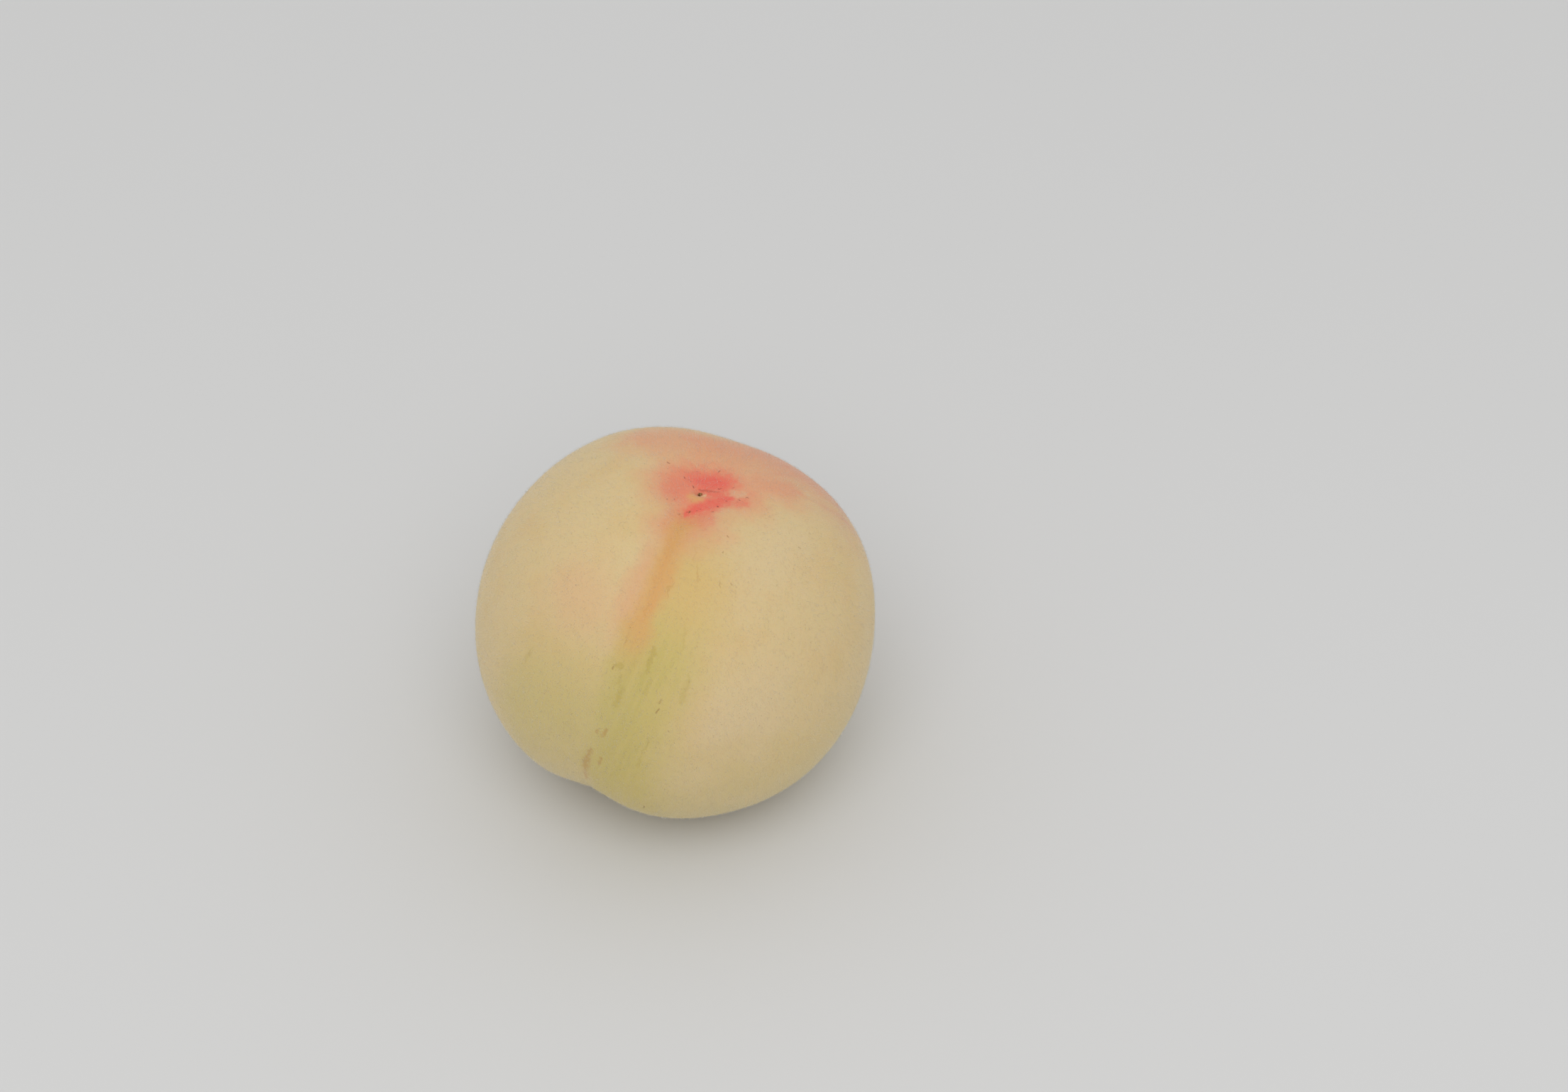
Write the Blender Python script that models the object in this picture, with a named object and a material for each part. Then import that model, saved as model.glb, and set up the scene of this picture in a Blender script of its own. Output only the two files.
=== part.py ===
import bmesh
import bpy
import numpy as np

# A white peach on its stem end, tip up. Metres, +Z up, and the crease (suture) faces the front left.
# Directions on the skin are a polar angle, 0 at the tip and pi at the stem, and an angle around from the suture.

# Body
equatorRadius = 0.0416
tipReach = 0.0430
stemReach = 0.0392
fullness = 2.10
tipLean = np.radians(10.2)
tipLeansToward = np.radians(-5.0)

# Suture: a shallow crease from tip to stem, deeper at both ends, narrow at the tip, faint behind
sutureFaces = np.radians(-113.0)
sutureBend = np.radians(5.4)
sutureHalfWidth = 0.0096
sutureTipHalfWidth = 0.0050
sutureWidensBy = 0.9
creaseFade = 0.20
creaseTurn = 0.60

# Depth of the crease along its length, then extra depths: height, polar angle, angular reach
frontCrease = 0.0013
frontDeeper = [(0.0016, 2.45, 0.60), (0.0010, 0.30, 0.30)]
backCrease = 0.0003
backDeeper = [(0.0004, 2.75, 0.30), (0.0010, 0.20, 0.25)]

# Dimple at the tip, with a wide dip round it
tipPitDepth = 0.0028
tipPitReach = 0.20
tipDipDepth = 0.0011
tipDipReach = 0.42

# Cavity at the stem
cavityDepth = 0.0145
cavityReach = 0.25

# The fruit stands on the flattened rim of the cavity, so the rim is levelled before it is flattened
levelHeight = 0.0004
levelFaces = np.radians(110.0)
levelPolar = 2.72
levelReach = 0.42
seatFlattening = 0.0007

# Uneven growth: polar angle, angle around, angular reach in degrees, then height
swells = {
    "right front cheek": (120.0, 80.0, 40.0, 0.0018),
    "right side": (70.0, 135.0, 40.0, 0.0020),
    "front cheek": (75.0, 20.0, 45.0, 0.0011),
    "left back shoulder": (60.0, -95.0, 40.0, -0.0015),
    "back of the top": (50.0, 180.0, 35.0, -0.0029),
}

# Mesh
segmentCount = 84
ringCount = 48
poleCrowding = 0.05

# Skin
skinColour = (0.62, 0.47, 0.25, 1.0)
skinRoughness = 0.72


def ease(share):
    # 0 to 1 with level ends: 3t^2 - 2t^3
    share = np.clip(share, 0.0, 1.0)
    return share * share * (3.0 - 2.0 * share)


def hill(distance, reach):
    # Rounded hill, 1 at its middle: exp(-(distance / reach)^2)
    return np.exp(-((distance / reach) ** 2))


def angleFrom(polar, around, atPolar, atAround):
    # Angle between two directions from the fruit's centre
    level = np.sin(polar) * np.sin(atPolar) * np.cos(around - atAround)
    return np.arccos(np.clip(level + np.cos(polar) * np.cos(atPolar), -1.0, 1.0))


def creaseDepth(polar, around):
    # Depth along the suture in front and along the faint crease behind, one passing into the other over the ends
    front = frontCrease + sum(depth * hill(polar - at, reach) for depth, at, reach in frontDeeper)
    back = backCrease + sum(depth * hill(polar - at, reach) for depth, at, reach in backDeeper)
    forward = ease(0.5 + np.sin(polar) * np.cos(around) / creaseTurn)
    fade = ease(polar / creaseFade) * ease((np.pi - polar) / creaseFade)
    return (back + (front - back) * forward) * fade


def skinRadius(polar, around):
    # Superellipse of the two radii, plus the swells, minus the pit, dip, cavity and crease
    reach = np.where(np.cos(polar) > 0.0, tipReach, stemReach)
    sideways = np.abs(np.sin(polar))
    lengthways = np.abs(np.cos(polar))
    radius = ((sideways / equatorRadius) ** fullness + (lengthways / reach) ** fullness) ** (-1.0 / fullness)
    for atPolar, atAround, spread, height in swells.values():
        away = angleFrom(polar, around, np.radians(atPolar), np.radians(atAround))
        radius = radius + height * hill(away, np.radians(spread))
    radius = radius - tipPitDepth * hill(polar, tipPitReach) - tipDipDepth * hill(polar, tipDipReach)
    radius = radius - cavityDepth * hill(np.pi - polar, cavityReach)
    radius = radius - levelHeight * np.cos(around - levelFaces) * hill(polar - levelPolar, levelReach)
    across = equatorRadius * sideways * np.sin(around - sutureBend * np.sin(2.0 * polar))
    wide = sutureTipHalfWidth + (sutureHalfWidth - sutureTipHalfWidth) * ease(polar / sutureWidensBy)
    return radius - creaseDepth(polar, around) * hill(across, wide)


def skinPoint(polar, around):
    # Radius along a direction that leans over by tipLean at the tip and by nothing at the stem
    heading = around + sutureFaces
    x = np.sin(polar) * np.cos(heading)
    y = np.sin(polar) * np.sin(heading)
    z = np.cos(polar)
    lean = tipLean * (1.0 + np.cos(polar)) / 2.0
    along = x * np.cos(tipLeansToward) + y * np.sin(tipLeansToward)
    moved = along * np.cos(lean) + z * np.sin(lean) - along
    z = z * np.cos(lean) - along * np.sin(lean)
    x = x + moved * np.cos(tipLeansToward)
    y = y + moved * np.sin(tipLeansToward)
    return skinRadius(polar, around)[..., None] * np.stack([x, y, z], axis=-1)


def skinGrid():
    # Rings from tip to stem, closer together at both ends, then the two end points
    step = np.arange(1, ringCount) / ringCount
    polar = np.pi * (step - poleCrowding * np.sin(2.0 * np.pi * step))
    around = 2.0 * np.pi * np.arange(segmentCount) / segmentCount
    polar, around = np.meshgrid(polar, around, indexing="ij")
    ends = skinPoint(np.array([0.0, np.pi]), np.array([0.0, 0.0]))
    return skinPoint(polar, around), ends


def settle(rings, ends):
    # Flatten the lowest rim to one level plane and put the bottom middle of the box at the origin
    seat = rings[..., 2].min() + seatFlattening
    rings[..., 2] = np.maximum(rings[..., 2], seat)
    low = rings.min(axis=(0, 1))
    high = rings.max(axis=(0, 1))
    shift = np.array([(low[0] + high[0]) / 2.0, (low[1] + high[1]) / 2.0, seat])
    return rings - shift, ends - shift


def peachMaterial():
    material = bpy.data.materials.new("peach_skin")
    material.use_nodes = True
    surface = material.node_tree.nodes["Principled BSDF"]
    surface.inputs["Base Color"].default_value = skinColour
    surface.inputs["Roughness"].default_value = skinRoughness
    return material


def buildPeach():
    rings, ends = settle(*skinGrid())
    solid = bmesh.new()
    rows = [[solid.verts.new(point) for point in ring] for ring in rings.tolist()]
    tip = solid.verts.new(ends[0])
    stem = solid.verts.new(ends[1])
    for k in range(segmentCount):
        after = (k + 1) % segmentCount
        solid.faces.new((tip, rows[0][k], rows[0][after]))
        for upper, lower in zip(rows[:-1], rows[1:]):
            solid.faces.new((upper[k], lower[k], lower[after], upper[after]))
        solid.faces.new((stem, rows[-1][after], rows[-1][k]))
    mesh = bpy.data.meshes.new("peach")
    solid.to_mesh(mesh)
    solid.free()
    mesh.materials.append(peachMaterial())
    mesh.polygons.foreach_set("use_smooth", [True] * len(mesh.polygons))
    peach = bpy.data.objects.new("peach", mesh)
    bpy.context.scene.collection.objects.link(peach)


for old in list(bpy.data.objects):
    bpy.data.objects.remove(old, do_unlink=True)
buildPeach()
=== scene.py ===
import math
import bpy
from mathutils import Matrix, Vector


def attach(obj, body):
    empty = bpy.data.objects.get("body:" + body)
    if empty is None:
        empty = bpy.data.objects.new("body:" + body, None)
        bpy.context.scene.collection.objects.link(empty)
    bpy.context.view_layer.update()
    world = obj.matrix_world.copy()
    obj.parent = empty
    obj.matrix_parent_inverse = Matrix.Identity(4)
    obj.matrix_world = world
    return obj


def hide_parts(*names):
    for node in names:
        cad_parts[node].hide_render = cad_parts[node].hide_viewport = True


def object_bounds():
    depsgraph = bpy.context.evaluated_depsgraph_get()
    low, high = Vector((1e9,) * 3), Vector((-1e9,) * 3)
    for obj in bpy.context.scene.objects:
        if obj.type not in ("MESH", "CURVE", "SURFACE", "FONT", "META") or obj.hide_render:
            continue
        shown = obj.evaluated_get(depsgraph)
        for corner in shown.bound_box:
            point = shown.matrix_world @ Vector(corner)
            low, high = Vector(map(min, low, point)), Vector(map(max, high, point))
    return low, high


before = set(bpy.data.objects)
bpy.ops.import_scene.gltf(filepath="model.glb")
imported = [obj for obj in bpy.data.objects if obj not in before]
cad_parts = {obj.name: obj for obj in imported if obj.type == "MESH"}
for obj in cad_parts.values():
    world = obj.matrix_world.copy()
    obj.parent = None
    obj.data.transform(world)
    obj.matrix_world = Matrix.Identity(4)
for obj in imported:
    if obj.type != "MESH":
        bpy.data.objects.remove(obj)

from types import SimpleNamespace

import bpy
import numpy as np
from mathutils import Vector

# A white peach, tip up. The skin is a surface over a polar angle, 0 at the tip and pi at the stem, and an
# angle around from the suture. Lengths are metres, and the marks on the skin are placed in millimetres.
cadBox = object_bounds()
random = np.random.default_rng(11)
mm = 0.001
print("frame loaded:", len(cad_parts), "node")


# Shader maths
class Wire:
    # An output of a shader node. Sums and products of wires add Math or Vector Math nodes.
    def __init__(self, socket):
        self.socket = socket

    def node(self, kind, settings=None, sockets=None, out=0):
        return addNode(self.socket.id_data, kind, settings, sockets, out)

    def maths(self, operation, first, second=0.0):
        # Vector Math where either side is a vector, colour or tuple, and Math otherwise
        if not isVector(first) and not isVector(second):
            return self.node("ShaderNodeMath", {"operation": operation}, {0: first, 1: second})
        sides = (first, second)
        first, second = (side if isinstance(side, (Wire, tuple)) else (side,) * 3 for side in sides)
        return self.node("ShaderNodeVectorMath", {"operation": operation}, {0: first, 1: second})

    def part(self, axis):
        # One component, 0 to 2
        return self.node("ShaderNodeSeparateXYZ", None, {0: self}, axis)

    def __add__(self, other):
        return self.maths("ADD", self, other)

    def __radd__(self, other):
        return self.maths("ADD", other, self)

    def __sub__(self, other):
        return self.maths("SUBTRACT", self, other)

    def __rsub__(self, other):
        return self.maths("SUBTRACT", other, self)

    def __mul__(self, other):
        return self.maths("MULTIPLY", self, other)

    def __rmul__(self, other):
        return self.maths("MULTIPLY", other, self)

    def __truediv__(self, other):
        return self.maths("DIVIDE", self, other)

    def size(self):
        # How far from nothing: a vector's length, a number's absolute value
        if isVector(self):
            return self.node("ShaderNodeVectorMath", {"operation": "LENGTH"}, {0: self}, "Value")
        return self.maths("ABSOLUTE", self)

    def direction(self):
        # The vector with length 1
        return self.node("ShaderNodeVectorMath", {"operation": "NORMALIZE"}, {0: self})

    def distance(self, point):
        return self.node("ShaderNodeVectorMath", {"operation": "DISTANCE"}, {0: self, 1: point}, "Value")

    def rise(self, low, high):
        # 0 below low, 1 above high, smooth between; it falls instead where low is over high
        if low > high:
            return 1.0 - self.rise(high, low)
        sockets = {"Value": self, "From Min": low, "From Max": high}
        return self.node("ShaderNodeMapRange", {"interpolation_type": "SMOOTHSTEP"}, sockets)

    def larger(self, other):
        return self.maths("MAXIMUM", self, other)


def isVector(side):
    # Whether a side of a sum is a tuple or a wire that carries a vector or colour
    return isinstance(side, tuple) or (isinstance(side, Wire) and side.socket.type in ("VECTOR", "RGBA"))


def addNode(tree, kind, settings=None, sockets=None, out=0):
    made = tree.nodes.new(kind)
    for name, value in (settings or {}).items():
        setattr(made, name, value)
    for name, value in (sockets or {}).items():
        if isinstance(value, Wire):
            tree.links.new(value.socket, made.inputs[name])
        else:
            made.inputs[name].default_value = value
    return Wire(made.outputs[out])


def placeOn(material):
    # Where a point lies on its object, in millimetres
    return addNode(material.node_tree, "ShaderNodeTexCoord", None, None, "Object") * (1.0 / mm)


def tone(red, green, blue):
    # A screen colour, 0 to 255, as linear light
    levels = (channel / 255.0 for channel in (red, green, blue))
    return tuple(c / 12.92 if c < 0.04045 else ((c + 0.055) / 1.055) ** 2.4 for c in levels) + (1.0,)


def mixed(share, under, over):
    # The colour under, going over to the colour over as share goes from 0 to 1
    return share.node("ShaderNodeMix", {"data_type": "RGBA"}, {0: share, 6: under, 7: over}, 2)


def blended(first, second, share):
    # A weighted mean of two noises; share is the weight of the first
    return first * share + second * (1.0 - share)


def cloud(place, grain, detail, roughness, distortion=0.0):
    # Noise around 0.5 whose patches are about grain across, in the unit of place
    values = {"Vector": place, "Scale": 1.0 / grain, "Detail": detail, "Roughness": roughness}
    return place.node("ShaderNodeTexNoise", None, {**values, "Distortion": distortion})


def patch(place, middle, reach, turn, edge):
    # 1 inside an ellipse, turned by degrees, and 0 outside. Half the sum of the distances to its two foci
    # gives the distance across it, sqrt(half^2 - focus^2). It fades over edge, a share of its reach.
    half, narrow = max(reach), min(reach)
    focus = math.sqrt(half * half - narrow * narrow)
    angle = math.radians(turn + (90.0 if reach[1] > reach[0] else 0.0))
    x, y = focus * math.cos(angle), focus * math.sin(angle)
    near, far = (place.distance((middle[0] + way * x, middle[1] + way * y, 0.0)) for way in (1.0, -1.0))
    away = (near + far) * 0.5
    terms = {0: away, 1: away, 2: -focus * focus}
    squared = away.node("ShaderNodeMath", {"operation": "MULTIPLY_ADD"}, terms)
    return squared.maths("POWER", squared.larger(0.0), 0.5).rise(narrow, narrow * (1.0 - edge))


def strip(side, middle, half, edge):
    # 1 along a line, 0 further than half from it
    return ((side - middle) / half).size().rise(1.0, 1.0 - edge)


def dots(place, spacing, size, share):
    # Small round spots in the cells of a Voronoi pattern. A cell holds one where its random colour, taken as
    # a vector, is longer than the limit less share, which is so in about that share of the cells.
    cells = place.node("ShaderNodeTexVoronoi", None, {"Vector": place, "Scale": 1.0 / spacing}, "Distance")
    chance = Wire(cells.socket.node.outputs["Color"]).size()
    limit, softness, core = 1.5, 0.02, 0.4
    chosen = chance.rise(limit - share, limit + softness - share)
    return cells.rise(size / spacing, core * size / spacing) * chosen


def bumped(height, strength, distance):
    # The normal of a rough surface, from its height
    values = {"Height": height, "Strength": strength, "Distance": distance}
    return height.node("ShaderNodeBump", None, values, "Normal")


def newMaterial(name, **values):
    material = bpy.data.materials.new(name)
    material.use_nodes = True
    surface = material.node_tree.nodes["Principled BSDF"]
    for key, value in values.items():
        surface.inputs[key.replace("_", " ")].default_value = value
    return material, surface


def wire(surface, **sources):
    # Joins wires to the sockets of a shader
    for name, source in sources.items():
        surface.id_data.links.new(source.socket, surface.inputs[name.replace("_", " ")])


# Form of the fruit: the same sizes as the solid
fruit = dict(
    equatorRadius=0.0416, tipReach=0.0430, stemReach=0.0392, fullness=2.10,
    tipLean=math.radians(10.2), tipLeansToward=math.radians(-5.0),
    sutureFaces=math.radians(-113.0), sutureBend=math.radians(5.4),
    sutureHalfWidth=0.0096, sutureTipHalfWidth=0.0050, sutureWidensBy=0.9,
    creaseFade=0.20, creaseTurn=0.60,
    frontCrease=0.0013, frontDeeper=[(0.0016, 2.45, 0.60), (0.0010, 0.30, 0.30)],
    backCrease=0.0003, backDeeper=[(0.0004, 2.75, 0.30), (0.0010, 0.20, 0.25)],
    tipPitDepth=0.0028, tipPitReach=0.20, tipDipDepth=0.0011, tipDipReach=0.42,
    cavityDepth=0.0145, cavityReach=0.25,
    levelHeight=0.0004, levelFaces=math.radians(110.0), levelPolar=2.72, levelReach=0.42,
    seatFlattening=0.0007, seatSearch=360,
    swells=[
        (120.0, 80.0, 40.0, 0.0018), (70.0, 135.0, 40.0, 0.0020), (75.0, 20.0, 45.0, 0.0011),
        (60.0, -95.0, 40.0, -0.0015), (50.0, 180.0, 35.0, -0.0029),
    ],
)

# Fine form that only the skin has. Angles are radians from the tip, or from the stem for the puckers.
skin = dict(
    segments=400, rings=239, poleCrowding=0.05,
    inset=0.00012,                                # room for the fuzz inside the solid's box
    unevenness=0.00016, dentContrast=2.2,         # depth of the soft dents, and how far they are flattened
    dentSizes=(0.030, 0.014, 0.006), dentWaves=7,
    seamDepth=0.00030, seamHalfWidth=0.0009,      # the fine line along the suture
    seamTurn=2.0, seamLeast=0.25, seamDeeper=[(0.35, 0.4), (2.3, 0.5)], seamTipFade=0.15, seamStemFade=0.3,
    pitDepth=0.0011, pitReach=0.030,              # the hole that the style sits in
    puckerDepth=0.00022, puckers=11,              # ridges round the stem
    puckerSwing=1.3, puckerSwings=3.0, puckerAt=0.22, puckerReach=0.13,
    millimetresPerRadian=41.0,                    # along the skin from the tip, for the places of its marks
)


def ease(share):
    # 0 to 1 with level ends: 3t^2 - 2t^3
    share = np.clip(share, 0.0, 1.0)
    return share * share * (3.0 - 2.0 * share)


def hill(distance, reach):
    # Rounded hill, 1 at its middle: exp(-(distance / reach)^2)
    return np.exp(-((distance / reach) ** 2))


def unit(vectors):
    # Each vector over its length, or over a tiny number where it has none
    tiny = 1e-15
    return vectors / np.maximum(np.linalg.norm(vectors, axis=-1), tiny)[..., None]


def angleFrom(polar, around, atPolar, atAround):
    # Angle between two directions from the fruit's centre
    level = np.sin(polar) * np.sin(atPolar) * np.cos(around - atAround)
    return np.arccos(np.clip(level + np.cos(polar) * np.cos(atPolar), -1.0, 1.0))


def creaseDepth(polar, around):
    # Depth along the suture in front and along the faint crease behind; one passes into the other at the ends
    front = fruit["frontCrease"] + sum(d * hill(polar - at, reach) for d, at, reach in fruit["frontDeeper"])
    back = fruit["backCrease"] + sum(d * hill(polar - at, reach) for d, at, reach in fruit["backDeeper"])
    forward = ease(0.5 + np.sin(polar) * np.cos(around) / fruit["creaseTurn"])
    fade = ease(polar / fruit["creaseFade"]) * ease((np.pi - polar) / fruit["creaseFade"])
    return (back + (front - back) * forward) * fade


def acrossSuture(polar, around):
    # Distance to the side of the suture's own slightly bent line
    bend = fruit["sutureBend"] * np.sin(2.0 * polar)
    return fruit["equatorRadius"] * np.sin(polar) * np.sin(around - bend)


def bodyRadius(polar, around):
    # Superellipse of the two radii, plus the swells, minus the pit, dip, cavity and crease
    reach = np.where(np.cos(polar) > 0.0, fruit["tipReach"], fruit["stemReach"])
    power = fruit["fullness"]
    sideways = np.abs(np.sin(polar)) / fruit["equatorRadius"]
    radius = (sideways ** power + (np.abs(np.cos(polar)) / reach) ** power) ** (-1.0 / power)
    for atPolar, atAround, spread, height in fruit["swells"]:
        away = angleFrom(polar, around, math.radians(atPolar), math.radians(atAround))
        radius = radius + height * hill(away, math.radians(spread))
    radius = radius - fruit["tipPitDepth"] * hill(polar, fruit["tipPitReach"])
    radius = radius - fruit["tipDipDepth"] * hill(polar, fruit["tipDipReach"])
    radius = radius - fruit["cavityDepth"] * hill(np.pi - polar, fruit["cavityReach"])
    level = np.cos(around - fruit["levelFaces"]) * hill(polar - fruit["levelPolar"], fruit["levelReach"])
    radius = radius - fruit["levelHeight"] * level
    widening = fruit["sutureHalfWidth"] - fruit["sutureTipHalfWidth"]
    wide = fruit["sutureTipHalfWidth"] + widening * ease(polar / fruit["sutureWidensBy"])
    return radius - creaseDepth(polar, around) * hill(acrossSuture(polar, around), wide)


def heading(polar, around):
    # Unit direction that leans over by tipLean at the tip and by nothing at the stem
    turn = around + fruit["sutureFaces"]
    x, y, z = np.sin(polar) * np.cos(turn), np.sin(polar) * np.sin(turn), np.cos(polar)
    lean = fruit["tipLean"] * (1.0 + np.cos(polar)) / 2.0
    toward = fruit["tipLeansToward"]
    along = x * np.cos(toward) + y * np.sin(toward)
    moved = along * np.cos(lean) + z * np.sin(lean) - along
    z = z * np.cos(lean) - along * np.sin(lean)
    return np.stack([x + moved * np.cos(toward), y + moved * np.sin(toward), z], axis=-1)


def skinGrid(segments, rings):
    # Polar angles from tip to stem, closer together at both ends, and angles all the way around
    step = np.arange(1, rings) / rings
    polar = np.pi * (step - skin["poleCrowding"] * np.sin(2.0 * np.pi * step))
    around = 2.0 * np.pi * np.arange(segments) / segments
    return np.meshgrid(polar, around, indexing="ij")


def findSeat():
    # The lowest rim, raised by its flattening, and the middle of the box, as the solid has them
    polar, around = skinGrid(fruit["seatSearch"], fruit["seatSearch"])
    points = bodyRadius(polar, around)[..., None] * heading(polar, around)
    low, high = points.min(axis=(0, 1)), points.max(axis=(0, 1))
    middle = (low + high) / 2.0
    return np.array([middle[0], middle[1], low[2] + fruit["seatFlattening"]])


def makeDents(sizes, count):
    # Random waves for each size of dent: their directions, where they start, and the size's weight
    waves = []
    for size in sizes:
        ways = random.normal(size=(count, 3))
        ways = ways / np.linalg.norm(ways, axis=1)[:, None] * (2.0 * np.pi / size)
        waves.append((ways, random.uniform(0.0, 2.0 * np.pi, count), size / sizes[0]))
    return waves


seat = findSeat()
dents = makeDents(skin["dentSizes"], skin["dentWaves"])


def unevenness(points):
    # Weighted mean of the waves, small dents shallower than wide ones
    total = sum(weight * np.sin(points @ ways.T + start).mean(axis=-1) for ways, start, weight in dents)
    return total / sum(weight for ways, start, weight in dents)


def skinPoint(polar, around):
    # Body radius less the inset, dents, seam, style pit and puckers, set on the seat
    way = heading(polar, around)
    fromStem = np.pi - polar
    radius = bodyRadius(polar, around) - skin["inset"]
    dent = np.clip(skin["dentContrast"] * unevenness(radius[..., None] * way), -1.0, 1.0)
    radius = radius - skin["unevenness"] * (0.5 + 0.5 * dent)
    forward = ease(0.5 + np.cos(around) * np.sin(polar) * skin["seamTurn"])
    deeper = sum((hill(polar - at, reach) for at, reach in skin["seamDeeper"]), skin["seamLeast"])
    seam = hill(acrossSuture(polar, around), skin["seamHalfWidth"]) * forward * deeper
    seam = seam * ease(polar / skin["seamTipFade"])
    radius = radius - skin["seamDepth"] * seam * ease(fromStem / skin["seamStemFade"])
    radius = radius - skin["pitDepth"] * hill(polar, skin["pitReach"])
    swing = skin["puckerSwing"] * np.sin(skin["puckerSwings"] * around)
    ripple = 0.5 + 0.5 * np.sin(skin["puckers"] * around + swing)
    radius = radius - skin["puckerDepth"] * ripple * hill(fromStem - skin["puckerAt"], skin["puckerReach"])
    points = radius[..., None] * way - seat
    points[..., 2] = np.maximum(points[..., 2], 0.0)
    return points


def outward(polar, around):
    # Unit normal: the cross product of the surface's two slopes
    small = 1e-4
    down = skinPoint(polar + small, around) - skinPoint(polar - small, around)
    along = skinPoint(polar, around + small) - skinPoint(polar, around - small)
    return unit(np.cross(down, along))


def gridFaces(rings, segments):
    # Quads between closed rings, wound to face outwards
    upper = np.arange(rings - 1)[:, None] * segments + np.arange(segments)[None, :]
    after = np.arange(rings - 1)[:, None] * segments + (np.arange(segments)[None, :] + 1) % segments
    return np.stack([upper, upper + segments, after + segments, after], axis=-1).reshape(-1, 4)


def fanFaces(segments, firstOfRing, centre, flipped):
    # Triangles that close a ring to one point
    here = firstOfRing + np.arange(segments)
    after = firstOfRing + (np.arange(segments) + 1) % segments
    pair = (after, here) if flipped else (here, after)
    return np.stack([np.full(segments, centre), *pair], axis=-1)


def fillMesh(name, points, faces):
    # A smooth mesh from points and any number of arrays of faces
    mesh = bpy.data.meshes.new(name)
    sizes = np.concatenate([np.full(len(part), part.shape[1]) for part in faces])
    corners = np.concatenate([part.ravel() for part in faces])
    mesh.vertices.add(len(points))
    mesh.vertices.foreach_set("co", np.asarray(points, np.float32).ravel())
    mesh.loops.add(len(corners))
    mesh.loops.foreach_set("vertex_index", corners.astype(np.int32))
    mesh.polygons.add(len(sizes))
    mesh.polygons.foreach_set("loop_start", (np.cumsum(sizes) - sizes).astype(np.int32))
    mesh.polygons.foreach_set("use_smooth", np.ones(len(sizes), bool))
    mesh.update(calc_edges=True)
    mesh.validate()
    return mesh


def roundMesh(name, rings, ends):
    # Closed rings with a point at each end; the first ring's end faces the first point
    sides = rings.shape[1]
    count = rings.shape[0] * sides
    faces = [
        gridFaces(rings.shape[0], sides), fanFaces(sides, 0, count, False),
        fanFaces(sides, count - sides, count + 1, True),
    ]
    return fillMesh(name, np.concatenate([rings.reshape(-1, 3), ends]), faces)


def addPiece(name, mesh, material):
    mesh.materials.append(material)
    piece = bpy.data.objects.new(name, mesh)
    bpy.context.scene.collection.objects.link(piece)
    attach(piece, "root")
    return piece


def setVectors(mesh, name, values):
    # Keeps a vector for each point under a name that the material reads
    layer = mesh.attributes.new(name, "FLOAT_VECTOR", "POINT")
    layer.data.foreach_set("vector", np.asarray(values, np.float32).ravel())


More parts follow.
